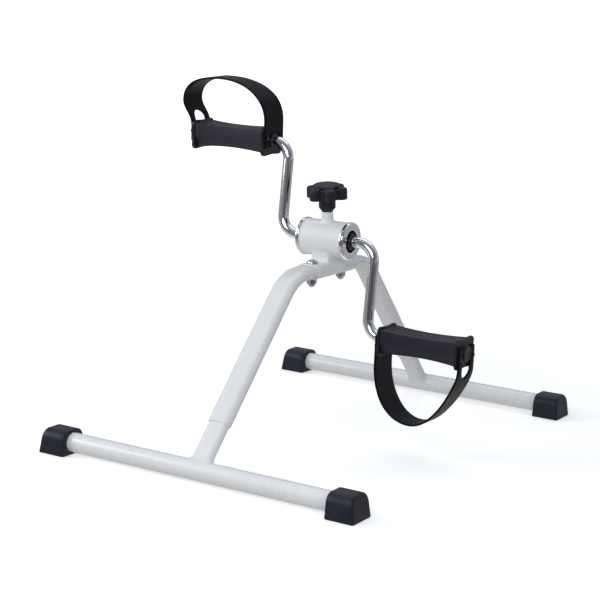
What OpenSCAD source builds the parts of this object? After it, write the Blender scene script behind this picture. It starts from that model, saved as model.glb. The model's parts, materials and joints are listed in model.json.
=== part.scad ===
// Pedal exerciser: two floor bars joined by a bent leg frame, a hub with a cranked axle,
// two strap pedals and a knob that presses a brake shoe on to the axle.
// +X runs along the floor bars and the axle, +Y from the near bar to the far bar, +Z up.
// The origin is on the floor, midway between the two bars.

/* [Floor bars] */
// Length of a floor bar over its two foot caps
bar_span = 385; // [340:5:440]
// Distance between the two floor bars, centre to centre
bar_spacing = 480; // [440:5:520]
// Outer diameter of the floor bar tube
bar_d = 21; // [19:0.5:25]
// Wall of the floor bar tube
bar_wall = 1.2; // [1:0.1:2]

/* [Foot caps] */
// Length of a foot cap along the bar
cap_len = 32; // [26:1:40]
// Width of a foot cap across its sole
cap_w = 37; // [32:1:44]
// Rubber under the bar
cap_sole = 2.5; // [2:0.5:5]
// Rubber above the bar
cap_crown = 2.8; // [2:0.2:5]
// Rubber beyond the end of the bar
cap_end = 4; // [3:0.5:6]

/* [Leg frame] */
// Width of the flat-oval leg tube, along the axle
leg_w = 26.4; // [22:0.2:32]
// Thickness of the flat-oval leg tube
leg_t = 13.4; // [11:0.2:16]
// Wall of the leg and stub tubes
leg_wall = 1.3; // [1:0.1:2]
// Distance from the middle of the frame to the corner of the bent leg
leg_corner_y = 77; // [70:1:90]
// Radius of the leg's bend at its centreline
leg_bend_r = 55; // [45:1:60]
// Distance from the bar's axis up to the seam between stub and leg
seam_up = 55; // [45:1:80]
// Height of the bracket tube's axis
bracket_h = 190; // [180:1:200]
// Length of the bracket tube
bracket_len = 82; // [76:1:90]
// Distance between the two bolts that hold the legs
bolt_spacing = 62; // [54:1:66]

/* [Hub] */
// Height of the axle above the floor
hub_h = 222; // [216:1:230]
// Length of the hub over its end rings
hub_len = 61; // [56:0.2:64]
// Outer diameter of the hub shell
hub_d = 40.6; // [38:0.2:44]
// Outer diameter of the chromed end rings
ring_d = 42.4; // [41.6:0.2:46]
// Distance from the axle to the top of the threaded boss
boss_top = 31; // [28:0.5:34]
// Lean of the boss and the knob from the vertical, towards the near bar
boss_lean = 7; // [0:0.5:15]
// Outer diameter of the threaded boss
boss_d = 12.8; // [11.6:0.2:15]

/* [Crank] */
// Crank radius
crank_r = 100.5; // [90:0.5:115]
// Lean of the crank arms from the vertical
crank_lean = 5.5; // [0:0.5:90]
// Diameter of the crank rod
rod_d = 12; // [11.4:0.2:12.4]
// Distance from the middle of the hub to a crank arm's centreline
arm_x = 60; // [57:1:63]
// Bend radius of the crank rod at its centreline
rod_bend_r = 20; // [16:1:22]

/* [Knob] */
// Overall diameter of the lobed knob
knob_d = 46.5; // [38:0.5:52]
// Number of lobes
knob_lobes = 6; // [5:1:8]
// Height of the lobed head
knob_head_h = 12.8; // [10:0.2:16]

/* [Pedals] */
// Length of a pedal body between its end plates
pedal_len = 90; // [84:1:96]
// Width of a pedal body across the tread
pedal_w = 37; // [34:1:42]
// Height of a pedal body at its ends
pedal_h = 28; // [26:1:30]
// Width of an end plate
plate_w = 41; // [40:1:46]
// Height of an end plate
plate_h = 34; // [32:1:38]
// Lean of the left pedal about its axle
left_pedal_lean = 1.5; // [-20:0.5:20]
// Lean of the right pedal about its axle
right_pedal_lean = -0.5; // [-20:0.5:20]

/* [Straps] */
// Thickness of the strap
strap_t = 2.2; // [1.8:0.1:2.6]
// Width of the strap at its two ends
strap_end_w = 38; // [34:1:40]
// Width of the strap in the middle of the loop
strap_mid_w = 28; // [22:1:32]

/* [Hidden] */

// Colours
white_coat = [0.90, 0.91, 0.92];
chrome = [0.78, 0.79, 0.80];
zinc = [0.66, 0.67, 0.69];
black_rubber = [0.06, 0.06, 0.07];
black_plastic = [0.13, 0.13, 0.15];
nylon = [0.85, 0.83, 0.76];

// How far a cutting shape runs past the face that it cuts
cut = 1;
// Gap between two fixed parts that slide together once
push_gap = 0.1;
// Radial gap of a tight fit between two fixed parts
fit_gap = 0.02;
// Radial clearance of a part that turns on a shaft
run_gap = 0.06;
// Side clearance between parts that turn past each other
side_gap = 0.3;
// Round resolution of curves that stay true curves
round_fn = 96;
// Round resolution of the faceted shells
shell_fn = 32;
// Round resolution of the long shallow arcs
long_arc_fn = 720;

// Floor bars and caps
bar_h = cap_sole + bar_d / 2;
cap_h = cap_sole + bar_d + cap_crown;
cap_shoulder_r = 10;
cap_side_lean = 1.5;
cap_draft = 3;
cap_edge_r = 3;
cap_foot_h = 2;
cap_slice_t = 0.2;

// Leg frame, worked out in the plane across the bars
leg_run = bar_spacing / 2 - leg_corner_y;
leg_drop = bracket_h - bar_h;
leg_angle = atan2(leg_drop, leg_run);
leg_slant = norm([leg_run, leg_drop]);
bend_tangent = leg_bend_r * tan(leg_angle / 2);
leg_inner_y = 14;
bend_over = 5;
leg_top_len = leg_corner_y - bend_tangent - leg_inner_y;
leg_low_len = leg_slant - bend_tangent - seam_up;
stub_w = leg_w - 2 * leg_wall - 2 * push_gap;
stub_t = leg_t - 2 * leg_wall - 2 * push_gap;
stub_in = 40;
weld_up = 7;
weld_low = 1;
weld_out = 4;
weld_edge = 0.4;
bracket_wall = 1.4;
bracket_w = leg_w + 2 * push_gap + 2 * bracket_wall;
bracket_t = leg_t + 2 * push_gap + 2 * bracket_wall;
bracket_top = bracket_h + bracket_t / 2;
saddle_len = 34;
saddle_w = 25;

// M6 bolts, washers and domed nuts
bolt_d = 6;
bolt_hole_d = 6.6;
bolt_head_d = 12;
bolt_head_h = 4.6;
washer_d = 12.4;
washer_t = 1.4;
nut_flats = 10;
nut_h = 5;
nut_dome_d = 8;
nut_dome_h = 4;
bolt_dome_d = 13.8;
bolt_dome_drop = 0.9;
bolt_tip = 1;

// Hub
shell_wall = 2.3;
shell_in_d = hub_d - 2 * shell_wall;
ring_face_t = 1.2;
ring_skirt = 4.6;
ring_hole_d = 24.6;
ring_round = 1;
shell_half = hub_len / 2 - ring_face_t;
bush_len = 13;
bush_collar_d = 20;
bush_recess = 4;
thread_d = 8;
boss_flare = 2.4;
boss_flare_h = 4;
stud_hole_gap = 1;

// Axle parts inside the hub
sleeve_d = 22;
thrust_t = 1;
thrust_d = 21;
sleeve_half = shell_half - bush_len - side_gap - thrust_t;
pin_d = 3;
pin_len = 20;
pin_x = sleeve_half / 2;
rod_gap = 1;

// Brake shoe and knob
shoe_t = 3;
shoe_len = 15;
shoe_w = 11;
neck_top_d = 19;
neck_low_d = 12;
neck_cone_h = 4;
neck_h = 10.5;
knob_base = boss_top + side_gap;
stud_base = sleeve_d / 2 + shoe_t + side_gap;
knob_lobe_r = 6.2;
knob_core_r = 16.8;
knob_crown = 3;
knob_crown_in = 4;
knob_turn = 12;

// Pedals, measured outwards from the middle of the machine
collar_d = 17;
collar_room = 0.5;
collar_len = 2.6;
plate_t = 3.5;
plate_round = 7;
plate_in_x = arm_x + rod_bend_r + collar_len + collar_room;
body_in_x = plate_in_x + plate_t;
body_out_x = body_in_x + pedal_len;
plate_out_x = body_out_x + plate_t;
body_mid_x = body_in_x + pedal_len / 2;
rod_stand_out = 3;
rod_end_x = body_out_x + rod_stand_out;
collar_x = plate_in_x - side_gap - collar_len;
push_nut_x = body_out_x + side_gap;
push_nut_d = 15;
push_nut_t = 1.4;
facet_h = 15;
section_edge = 1;
foot_w = 25;
top_sag = 2;
bottom_sag = 3.2;
side_sag = 1.6;
tread_grooves = 18;
tread_pitch = 4.7;
tread_depth = 0.8;
tread_groove_w = 1.5;
tread_in = 3.5;
channel_w = 7;
channel_h = 15;
channel_y = 11.5;
channel_z = -6.5;
boss_r = 9;
boss_out = 3.4;
stud_y = 15;
stud_r = 2;
stud_head_r = 2.7;
stud_head_t = 1;
stud_up = 4;
fork_gap = 2 * boss_r + 1;
fork_reach = 20;
plate_bore_gap = 0.5;
hollow_wall = 1.2;
hollow_cap = 1.6;
window_top = 27;

// Strap loop: control points of cubic curves, as distance from the middle of the machine
// and height above the pedal axle on the strap's side
strap_rest = 0.05;
tab_in_x = plate_in_x - strap_t / 2 - strap_rest;
tab_out_x = plate_out_x + strap_t / 2 + strap_rest;
tab_end = -8;
hanging_loop = [
    [[tab_in_x, tab_end], [tab_in_x, 6], [tab_in_x, 16], [tab_in_x, 28]],
    [[tab_in_x, 28], [tab_in_x, 58], [99, 86.5], [126, 86.5]],
    [[126, 86.5], [148, 86.5], [170, 52], [178.6, 30]],
    [[178.6, 30], [180, 26], [tab_out_x, 22], [tab_out_x, 17]],
    [[tab_out_x, 17], [tab_out_x, 9], [tab_out_x, -2], [tab_out_x, tab_end]]
];
arching_loop = [
    [[tab_in_x, tab_end], [tab_in_x, 6], [tab_in_x, 16], [tab_in_x, 26]],
    [[tab_in_x, 26], [tab_in_x + 1, 49], [108, 65], [142, 66]],
    [[142, 66], [168, 67], [193.5, 61], [193.5, 39.5]],
    [[193.5, 39.5], [193.5, 28], [tab_out_x, 24], [tab_out_x, 11]],
    [[tab_out_x, 11], [tab_out_x, 7], [tab_out_x, -2], [tab_out_x, tab_end]]
];
curve_steps = 8;
// Outline of the strap seen from above: distance from the middle, half width
strap_plan = [
    [tab_in_x - 10, strap_end_w / 2], [92, strap_end_w / 2], [118, strap_mid_w / 2 + 2],
    [140, strap_mid_w / 2], [156, strap_mid_w / 2 + 1], [176, strap_end_w / 2 - 1], [205, strap_end_w / 2 - 1]
];

strap_plan_outline = concat(
    strap_plan,
    [for (i = [len(strap_plan) - 1 : -1 : 0]) [strap_plan[i][0], -strap_plan[i][1]]]
);

// ---------------------------------------------------------------- shared shapes

// Flat oval with its long side along X
module stadium(w, t) {
    square([w - t, t], center = true);
    for (s = [-1, 1])
        translate([s * (w - t) / 2, 0])
            circle(d = t, $fn = round_fn);
}

module stadium_ring(w, t, wall) {
    difference() {
        stadium(w, t);
        stadium(w - 2 * wall, t - 2 * wall);
    }
}

// Cylinder along X from x0 to x1
module rod_x(x0, x1, d) {
    translate([x0, 0, 0])
        rotate([0, 90, 0])
            cylinder(h = x1 - x0, d = d, $fn = round_fn);
}

module ring_x(x0, x1, d_out, d_in) {
    difference() {
        rod_x(x0, x1, d_out);
        rod_x(x0 - cut, x1 + cut, d_in);
    }
}

// Puts children on the far side (1) or the near side (-1) of the frame
module on_y(side) {
    mirror([0, side < 0 ? 1 : 0, 0])
        children();
}

// Puts children on the right (1) or the left (-1)
module on_x(side) {
    mirror([side < 0 ? 1 : 0, 0, 0])
        children();
}

// ---------------------------------------------------------------- floor bars and caps

module base_bar(side) {
    color(white_coat)
        translate([0, side * bar_spacing / 2, bar_h])
            ring_x(-bar_span / 2 + cap_end, bar_span / 2 - cap_end, bar_d, bar_d - 2 * bar_wall);
}

// Outline of the cap across the bar: flat sole, leaning sides, rounded shoulders
module cap_slice(x, inset, drop) {
    half = cap_w / 2 - inset;
    top = cap_h - drop;
    translate([x, 0, 0])
        rotate([90, 0, 90])
            linear_extrude(cap_slice_t)
                hull() {
                    translate([-half, 0])
                        square([2 * half, cap_foot_h]);
                    for (s = [-1, 1])
                        translate([s * (half - cap_shoulder_r - cap_side_lean), top - cap_shoulder_r])
                            circle(r = cap_shoulder_r, $fn = shell_fn);
                }
}

module foot_cap(side_x, side_y) {
    color(black_rubber)
        translate([0, side_y * bar_spacing / 2, 0])
            on_x(side_x)
                difference() {
                    hull() {
                        cap_slice(bar_span / 2 - cap_len, 0, 0);
                        cap_slice(bar_span / 2 - cap_edge_r - cap_draft, 0, 0.4);
                        cap_slice(bar_span / 2 - cap_draft, 1, cap_edge_r);
                        translate([bar_span / 2 - cap_foot_h, -cap_w / 2 + cap_foot_h, 0])
                            cube([cap_foot_h, cap_w - 2 * cap_foot_h, cap_foot_h]);
                    }
                    translate([0, 0, bar_h])
                        rod_x(bar_span / 2 - cap_len - cut, bar_span / 2 - cap_end, bar_d + 2 * fit_gap);
                }
}

// ---------------------------------------------------------------- leg frame

// Places a section drawn at the bar's axis so that it rises along the leg
module along_leg() {
    translate([0, bar_spacing / 2, bar_h])
        rotate([90 - leg_angle, 0, 0])
            children();
}

module leg_stub(side) {
    color(white_coat)
        on_y(side)
            difference() {
                along_leg() {
                    linear_extrude(seam_up + stub_in)
                        stadium_ring(stub_w, stub_t, leg_wall);
                    difference() {
                        hull() {
                            linear_extrude(bar_d / 2 + weld_low)
                                stadium(stub_w + 2 * weld_out, stub_t + 2 * weld_out);
                            linear_extrude(bar_d / 2 + weld_up)
                                stadium(stub_w - weld_edge, stub_t - weld_edge);
                        }
                        translate([0, 0, -cut])
                            linear_extrude(bar_d / 2 + weld_up + 2 * cut)
                                stadium(stub_w - leg_wall, stub_t - leg_wall);
                    }
                }
                translate([0, bar_spacing / 2, bar_h])
                    rod_x(-stub_w, stub_w, bar_d);
                translate([0, bar_spacing / 2, bar_h - bar_d])
                    cube([2 * stub_w, bar_spacing, 2 * bar_d], center = true);
            }
}

// Hole for a leg bolt, straight down
module bolt_hole() {
    translate([0, bolt_spacing / 2, bracket_h - bracket_t])
        cylinder(h = 2 * bracket_t, d = bolt_hole_d, $fn = round_fn);
}

// The leg's whole run as one solid of the given section: straight slope, bend, level top.
// All three are drawn in the bend's own frame, and the bend is swept past its end and cut
// back to the level top's first face, so that the ends meet exactly at any angle.
module leg_run_solid(w, t) {
    translate([0, leg_corner_y - bend_tangent, bracket_h - leg_bend_r])
        rotate([90, 0, 90])
            rotate([0, 0, 90 - leg_angle]) {
                difference() {
                    rotate_extrude(angle = leg_angle + bend_over, $fn = round_fn)
                        translate([leg_bend_r, 0])
                            rotate(90)
                                stadium(w, t);
                    rotate([0, 0, leg_angle])
                        translate([0, 0, -w])
                            cube([2 * leg_bend_r, leg_bend_r, 2 * w]);
                }
                translate([leg_bend_r, 0, 0])
                    rotate([90, 0, 0])
                        linear_extrude(leg_low_len)
                            rotate(90)
                                stadium(w, t);
                rotate([0, 0, leg_angle])
                    translate([leg_bend_r, 0, 0])
                        rotate([-90, 0, 0])
                            linear_extrude(leg_top_len)
                                rotate(90)
                                    stadium(w, t);
            }
}

module bent_leg(side) {
    color(white_coat)
        on_y(side)
            difference() {
                leg_run_solid(leg_w, leg_t);
                leg_run_solid(leg_w - 2 * leg_wall, leg_t - 2 * leg_wall);
                bolt_hole();
            }
}

module hub_bracket() {
    color(white_coat)
        difference() {
            union() {
                translate([0, -bracket_len / 2, bracket_h])
                    rotate([-90, 0, 0])
                        linear_extrude(bracket_len)
                            stadium_ring(bracket_w, bracket_t, bracket_wall);
                translate([-saddle_w / 2, -saddle_len / 2, bracket_top - bracket_wall / 2])
                    cube([saddle_w, saddle_len, hub_h - bracket_top]);
            }
            translate([0, 0, hub_h])
                rod_x(-saddle_w, saddle_w, hub_d);
            translate([-saddle_w, -saddle_len, hub_h - hub_d / 4])
                cube([2 * saddle_w, 2 * saddle_len, hub_d]);
            for (s = [-1, 1])
                on_y(s)
                    bolt_hole();
        }
}

// ---------------------------------------------------------------- hub

module hub_shell() {
    color(white_coat)
        translate([0, 0, hub_h])
            difference() {
                ring_x(-shell_half, shell_half, hub_d, shell_in_d);
                rotate([boss_lean, 0, 0])
                    cylinder(h = hub_d, d = thread_d + 2 * stud_hole_gap, $fn = round_fn);
            }
}

// Puts a part on the leaning axis of the boss and the knob, measured from the axle
module on_boss() {
    translate([0, 0, hub_h])
        rotate([boss_lean, 0, 0])
            children();
}

module knob_boss() {
    color(white_coat)
        on_boss()
            difference() {
                union() {
                    cylinder(h = boss_top, d = boss_d, $fn = round_fn);
                    translate([0, 0, hub_d / 2 - cut])
                        cylinder(h = boss_flare_h, d1 = boss_d + 2 * boss_flare, d2 = boss_d, $fn = round_fn);
                }
                rod_x(-boss_d, boss_d, hub_d);
                cylinder(h = boss_top + cut, d = thread_d + 2 * run_gap, $fn = round_fn);
            }
}

module hub_ring(side) {
    color(chrome)
        translate([0, 0, hub_h])
            on_x(side)
                rotate([0, 90, 0])
                    rotate_extrude($fn = round_fn)
                        polygon([
                            [ring_hole_d / 2, shell_half],
                            [hub_d / 2 + fit_gap, shell_half],
                            [hub_d / 2 + fit_gap, hub_len / 2 - ring_skirt],
                            [ring_d / 2, hub_len / 2 - ring_skirt],
                            [ring_d / 2, hub_len / 2 - ring_round],
                            [ring_d / 2 - ring_round, hub_len / 2],
                            [ring_hole_d / 2, hub_len / 2]
                        ]);
}

module hub_bush(side) {
    color(black_plastic)
        translate([0, 0, hub_h])
            on_x(side)
                difference() {
                    union() {
                        rod_x(shell_half - bush_len, shell_half, shell_in_d - 2 * fit_gap);
                        rod_x(shell_half - cut, hub_len / 2, bush_collar_d);
                    }
                    ring_x(shell_half - bush_recess, hub_len, ring_hole_d, bush_collar_d);
                    rod_x(0, hub_len, rod_d + 2 * run_gap);
                }
}

// ---------------------------------------------------------------- leg bolts

module leg_bolts() {
    color(zinc)
        for (s = [-1, 1])
            translate([0, s * bolt_spacing / 2, 0]) {
                translate([0, 0, bracket_h - bracket_t / 2 - washer_t - nut_h - bolt_tip])
                    cylinder(h = bracket_t + washer_t + nut_h + bolt_tip + cut, d = bolt_d, $fn = round_fn);
                intersection() {
                    translate([0, 0, bracket_top + bolt_head_h - bolt_head_d / 2 - bolt_dome_drop])
                        sphere(d = bolt_dome_d, $fn = round_fn);
                    translate([0, 0, bracket_top])
                        cylinder(h = bolt_head_h, d = bolt_head_d, $fn = round_fn);
                }
            }
}

module leg_bolt_washers() {
    color(zinc)
        for (s = [-1, 1])
            translate([0, s * bolt_spacing / 2, bracket_h - bracket_t / 2 - washer_t])
                difference() {
                    cylinder(h = washer_t, d = washer_d, $fn = round_fn);
                    translate([0, 0, -cut])
                        cylinder(h = washer_t + 2 * cut, d = bolt_hole_d, $fn = round_fn);
                }
}

module leg_bolt_nuts() {
    color(zinc)
        for (s = [-1, 1])
            translate([0, s * bolt_spacing / 2, bracket_h - bracket_t / 2 - washer_t])
                difference() {
                    union() {
                        translate([0, 0, -nut_h])
                            cylinder(h = nut_h, d = nut_flats / cos(30), $fn = 6);
                        translate([0, 0, -nut_h - nut_dome_h + nut_dome_d / 2])
                            sphere(d = nut_dome_d, $fn = round_fn);
                    }
                    translate([0, 0, -nut_h - bolt_tip - fit_gap])
                        cylinder(h = nut_h + bolt_tip + cut, d = bolt_d + 2 * fit_gap, $fn = round_fn);
                }
}

// ---------------------------------------------------------------- cranked axle

// Turns the crank plane to its rest position: the arm's direction becomes +Z here
module in_crank_plane(side) {
    translate([0, 0, hub_h])
        rotate([-crank_lean, 0, 0])
            mirror([0, 0, side > 0 ? 1 : 0])
                on_x(side)
                    children();
}

// Holes for the spring pins through sleeve and rods
module pin_holes(d) {
    for (s = [-1, 1])
        translate([s * pin_x, 0, -sleeve_d])
            cylinder(h = 2 * sleeve_d, d = d, $fn = round_fn);
}

module crank(side) {
    color(chrome)
        in_crank_plane(side)
            difference() {
                union() {
                    rod_x(rod_gap, arm_x - rod_bend_r, rod_d);
                    translate([arm_x - rod_bend_r, 0, rod_bend_r])
                        rotate([90, 0, 0])
                            rotate([0, 0, -90])
                                rotate_extrude(angle = 90, $fn = round_fn)
                                    translate([rod_bend_r, 0])
                                        circle(d = rod_d, $fn = round_fn);
                    translate([arm_x, 0, rod_bend_r])
                        cylinder(h = crank_r - 2 * rod_bend_r, d = rod_d, $fn = round_fn);
                    translate([arm_x + rod_bend_r, 0, crank_r - rod_bend_r])
                        rotate([90, 0, 0])
                            rotate([0, 0, 90])
                                rotate_extrude(angle = 90, $fn = round_fn)
                                    translate([rod_bend_r, 0])
                                        circle(d = rod_d, $fn = round_fn);
                    translate([0, 0, crank_r])
                        rod_x(arm_x + rod_bend_r, rod_end_x, rod_d);
                }
                pin_holes(pin_d + 2 * fit_gap);
            }
}

module axle_sleeve() {
    color(zinc)
        translate([0, 0, hub_h])
            rotate([-crank_lean, 0, 0])
                difference() {
                    ring_x(-sleeve_half, sleeve_half, sleeve_d, rod_d + 2 * fit_gap);
                    pin_holes(pin_d + 2 * fit_gap);
                }
}

module sleeve_pins() {
    color(zinc)
        translate([0, 0, hub_h])
            rotate([-crank_lean, 0, 0])
                for (s = [-1, 1])
                    translate([s * pin_x, 0, -pin_len / 2])
                        cylinder(h = pin_len, d = pin_d, $fn = round_fn);
}

module thrust_washers() {
    color(zinc)
        translate([0, 0, hub_h])
            for (s = [-1, 1])
                on_x(s)
                    ring_x(sleeve_half, sleeve_half + thrust_t, thrust_d, rod_d + 2 * fit_gap);
}

module pedal_collars() {
    color(black_plastic)
        for (s = [-1, 1])
            in_crank_plane(s)
                translate([0, 0, crank_r])
                    ring_x(collar_x, collar_x + collar_len, collar_d, rod_d + 2 * fit_gap);
}

module pedal_push_nuts() {
    color(zinc)
        for (s = [-1, 1])
            in_crank_plane(s)
                translate([0, 0, crank_r])
                    ring_x(push_nut_x, push_nut_x + push_nut_t, push_nut_d, rod_d + 2 * fit_gap);
}

// ---------------------------------------------------------------- brake and knob

module brake_shoe() {
    color(nylon)
        on_boss()
            difference() {
                translate([-shoe_len / 2, -shoe_w / 2, 0])
                    cube([shoe_len, shoe_w, sleeve_d / 2 + shoe_t]);
                rod_x(-shoe_len, shoe_len, sleeve_d + 2 * side_gap);
            }
}

// One lobe: a rounded finger that points outwards
module knob_outline() {
    circle(r = knob_core_r, $fn = round_fn);
    for (i = [0 : knob_lobes - 1])
        rotate(knob_turn + i * 360 / knob_lobes)
            translate([knob_d / 2 - knob_lobe_r, 0])
                circle(r = knob_lobe_r, $fn = round_fn);
}

module tension_knob() {
    head_z = neck_cone_h + neck_h;
    color(black_plastic)
        on_boss()
            translate([0, 0, knob_base])
                difference() {
                    union() {
                        cylinder(h = neck_cone_h, d1 = neck_low_d, d2 = neck_top_d, $fn = round_fn);
                        translate([0, 0, neck_cone_h])
                            cylinder(h = neck_h, d = neck_top_d, $fn = round_fn);
                        translate([0, 0, head_z])
                            linear_extrude(knob_head_h)
                                knob_outline();
                        translate([0, 0, head_z + knob_head_h])
                            cylinder(h = knob_crown, r1 = knob_core_r, r2 = knob_core_r - knob_crown_in,
                                     $fn = round_fn);
                    }
                    translate([0, 0, -cut])
                        cylinder(h = head_z + cut, d = thread_d + 2 * fit_gap, $fn = round_fn);
                }
}

module knob_stud() {
    color(zinc)
        on_boss()
            translate([0, 0, stud_base])
                cylinder(h = knob_base + neck_cone_h + neck_h - stud_base, d = thread_d, $fn = round_fn);
}

// ---------------------------------------------------------------- pedals

// Puts a pedal part at its axle: local +X outwards, local +Z towards the tread
module at_pedal(side) {
    lean = side > 0 ? right_pedal_lean : left_pedal_lean;
    reach = side > 0 ? -crank_r : crank_r;
    translate([0, reach * sin(crank_lean), hub_h + reach * cos(crank_lean)])
        rotate([lean, 0, 0])
            on_x(side)
                children();
}

// Radius of the long arc that hollows a face by sag over the body's length
function sag_r(sag) = (pow(pedal_len / 2, 2) + pow(sag, 2)) / (2 * sag);

module body_section() {
    polygon([
        [-pedal_w / 2 + section_edge, pedal_h / 2], [pedal_w / 2 - section_edge, pedal_h / 2],
        [pedal_w / 2, pedal_h / 2 - section_edge], [pedal_w / 2, pedal_h / 2 - facet_h],
        [foot_w / 2, -pedal_h / 2], [-foot_w / 2, -pedal_h / 2],
        [-pedal_w / 2, pedal_h / 2 - facet_h], [-pedal_w / 2, pedal_h / 2 - section_edge]
    ]);
}

module pedal_body(side) {
    top_r = sag_r(top_sag);
    bottom_r = sag_r(bottom_sag);
    side_r = sag_r(side_sag);
    color(black_plastic)
        at_pedal(side)
            difference() {
                translate([body_in_x, 0, 0])
                    rotate([90, 0, 90])
                        linear_extrude(pedal_len)
                            body_section();
                translate([body_mid_x, 0, pedal_h / 2 - top_sag + top_r])
                    rotate([90, 0, 0])
                        cylinder(h = 2 * pedal_w, r = top_r, center = true, $fn = long_arc_fn);
                translate([body_mid_x, 0, -pedal_h / 2 + bottom_sag - bottom_r])
                    rotate([90, 0, 0])
                        cylinder(h = 2 * pedal_w, r = bottom_r, center = true, $fn = long_arc_fn);
                for (s = [-1, 1])
                    translate([body_mid_x, s * (pedal_w / 2 - side_sag + side_r), 0])
                        cylinder(h = 2 * pedal_h, r = side_r, center = true, $fn = long_arc_fn);
                for (i = [0 : tread_grooves - 1]) {
                    x = (i - (tread_grooves - 1) / 2) * tread_pitch;
                    z = pedal_h / 2 - top_sag + top_r - sqrt(pow(top_r, 2) - pow(x, 2));
                    translate([body_mid_x + x - tread_groove_w / 2, -pedal_w / 2 + tread_in, z - tread_depth])
                        cube([tread_groove_w, pedal_w - 2 * tread_in, 2 * tread_depth]);
                }
                for (s = [-1, 1])
                    translate([body_in_x - cut, s * channel_y - channel_w / 2, channel_z])
                        cube([pedal_len + 2 * cut, channel_w, channel_h]);
                rod_x(body_in_x - cut, body_out_x + cut, rod_d + 2 * run_gap);
            }
}

module plate_outline() {
    for (a = [0, 90])
        square(a == 0 ? [plate_w, plate_h - 2 * plate_round] : [plate_w - 2 * plate_round, plate_h],
               center = true);
    for (sy = [-1, 1])
        for (sz = [-1, 1])
            translate([sy * (plate_w / 2 - plate_round), sz * (plate_h / 2 - plate_round)])
                circle(r = plate_round, $fn = round_fn);
}

// Two headed studs that the fork of the strap buttons on to; out is +1 or -1 along X
module strap_studs(x, out, up) {
    for (s = [-1, 1])
        translate([x, s * stud_y, up])
            rotate([0, out * 90, 0]) {
                cylinder(h = cut + strap_t + 2 * strap_rest, r = stud_r, $fn = round_fn);
                translate([0, 0, cut + strap_t + 2 * strap_rest])
                    cylinder(h = stud_head_t, r = stud_head_r, $fn = round_fn);
            }
}

module pedal_inner_plate(side) {
    strap_up = side > 0 ? -stud_up : stud_up;
    color(black_plastic)
        at_pedal(side)
            difference() {
                union() {
                    translate([plate_in_x, 0, 0])
                        rotate([90, 0, 90])
                            linear_extrude(plate_t)
                                plate_outline();
                    strap_studs(plate_in_x + cut, -1, strap_up);
                }
                rod_x(plate_in_x - cut, plate_in_x + plate_t + cut, rod_d + 2 * plate_bore_gap);
            }
}

module pedal_outer_plate(side) {
    strap_up = side > 0 ? -stud_up : stud_up;
    color(black_plastic)
        at_pedal(side)
            difference() {
                union() {
                    translate([body_out_x, 0, 0])
                        rotate([90, 0, 90])
                            linear_extrude(plate_t)
                                plate_outline();
                    rod_x(body_out_x, plate_out_x + boss_out, 2 * boss_r);
                    strap_studs(plate_out_x - cut, 1, strap_up);
                }
                rod_x(body_out_x - cut, plate_out_x + boss_out - hollow_cap, 2 * (boss_r - hollow_wall));
            }
}

// ---------------------------------------------------------------- straps

function cubic(c, t) =
    pow(1 - t, 3) * c[0] + 3 * t * pow(1 - t, 2) * c[1] + 3 * t * t * (1 - t) * c[2] + pow(t, 3) * c[3];
function cubic_way(c, t) =
    3 * pow(1 - t, 2) * (c[1] - c[0]) + 6 * t * (1 - t) * (c[2] - c[1]) + 3 * t * t * (c[3] - c[2]);
function unit(v) = v / norm(v);
// Points on one side of the band: half the thickness off the centreline
function band_side(loop, off) = [
    for (c = loop)
        for (i = [0 : curve_steps - 1])
            let (t = i / curve_steps, way = unit(cubic_way(c, t)))
                cubic(c, t) + off * [-way[1], way[0]]
];
function band_end(loop, off) =
    let (c = loop[len(loop) - 1], way = unit(cubic_way(c, 1)))
        cubic(c, 1) + off * [-way[1], way[0]];
function band_outline(loop) = concat(
    band_side(loop, strap_t / 2),
    [band_end(loop, strap_t / 2), band_end(loop, -strap_t / 2)],
    [for (i = [len(loop) * curve_steps - 1 : -1 : 0]) band_side(loop, -strap_t / 2)[i]]
);

module strap_window() {
    rotate([90, 0, 90])
        linear_extrude(bar_span) {
            translate([-fork_gap / 2, -pedal_h])
                square([fork_gap, pedal_h + window_top - fork_gap / 2]);
            translate([0, window_top - fork_gap / 2])
                circle(d = fork_gap, $fn = round_fn);
        }
}

module pedal_strap(side) {
    loop = side > 0 ? hanging_loop : arching_loop;
    color(black_rubber)
        at_pedal(side)
            mirror([0, 0, side > 0 ? 1 : 0])
                difference() {
                    intersection() {
                        rotate([90, 0, 0])
                            linear_extrude(2 * strap_end_w, center = true)
                                polygon(band_outline(loop));
                        translate([0, 0, -bar_span])
                            linear_extrude(2 * bar_span)
                                polygon(strap_plan_outline);
                    }
                    translate([body_out_x - fork_reach, 0, 0])
                        strap_window();
                    translate([0, -fork_gap / 2, -pedal_h])
                        cube([body_in_x, fork_gap, pedal_h + fork_gap / 2]);
                    for (s = [-1, 1])
                        translate([0, s * stud_y, stud_up])
                            rod_x(0, bar_span, 2 * stud_r + 4 * push_gap);
                }
}

// ---------------------------------------------------------------- the machine

base_bar(-1);  // front_base_bar
base_bar(1);  // rear_base_bar
foot_cap(-1, -1);  // front_left_foot_cap
foot_cap(1, -1);  // front_right_foot_cap
foot_cap(-1, 1);  // rear_left_foot_cap
foot_cap(1, 1);  // rear_right_foot_cap
leg_stub(-1);  // front_leg_stub
leg_stub(1);  // rear_leg_stub
bent_leg(-1);  // front_leg
bent_leg(1);  // rear_leg
hub_bracket();
hub_shell();
knob_boss();
hub_ring(-1);  // left_hub_ring
hub_ring(1);  // right_hub_ring
hub_bush(-1);  // left_hub_bush
hub_bush(1);  // right_hub_bush
leg_bolts();
leg_bolt_washers();
leg_bolt_nuts();
crank(-1);  // left_crank
crank(1);  // right_crank
axle_sleeve();
sleeve_pins();
thrust_washers();
pedal_collars();
pedal_push_nuts();
brake_shoe();
tension_knob();
knob_stud();
pedal_body(-1);  // left_pedal_body
pedal_inner_plate(-1);  // left_pedal_inner_plate
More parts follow.
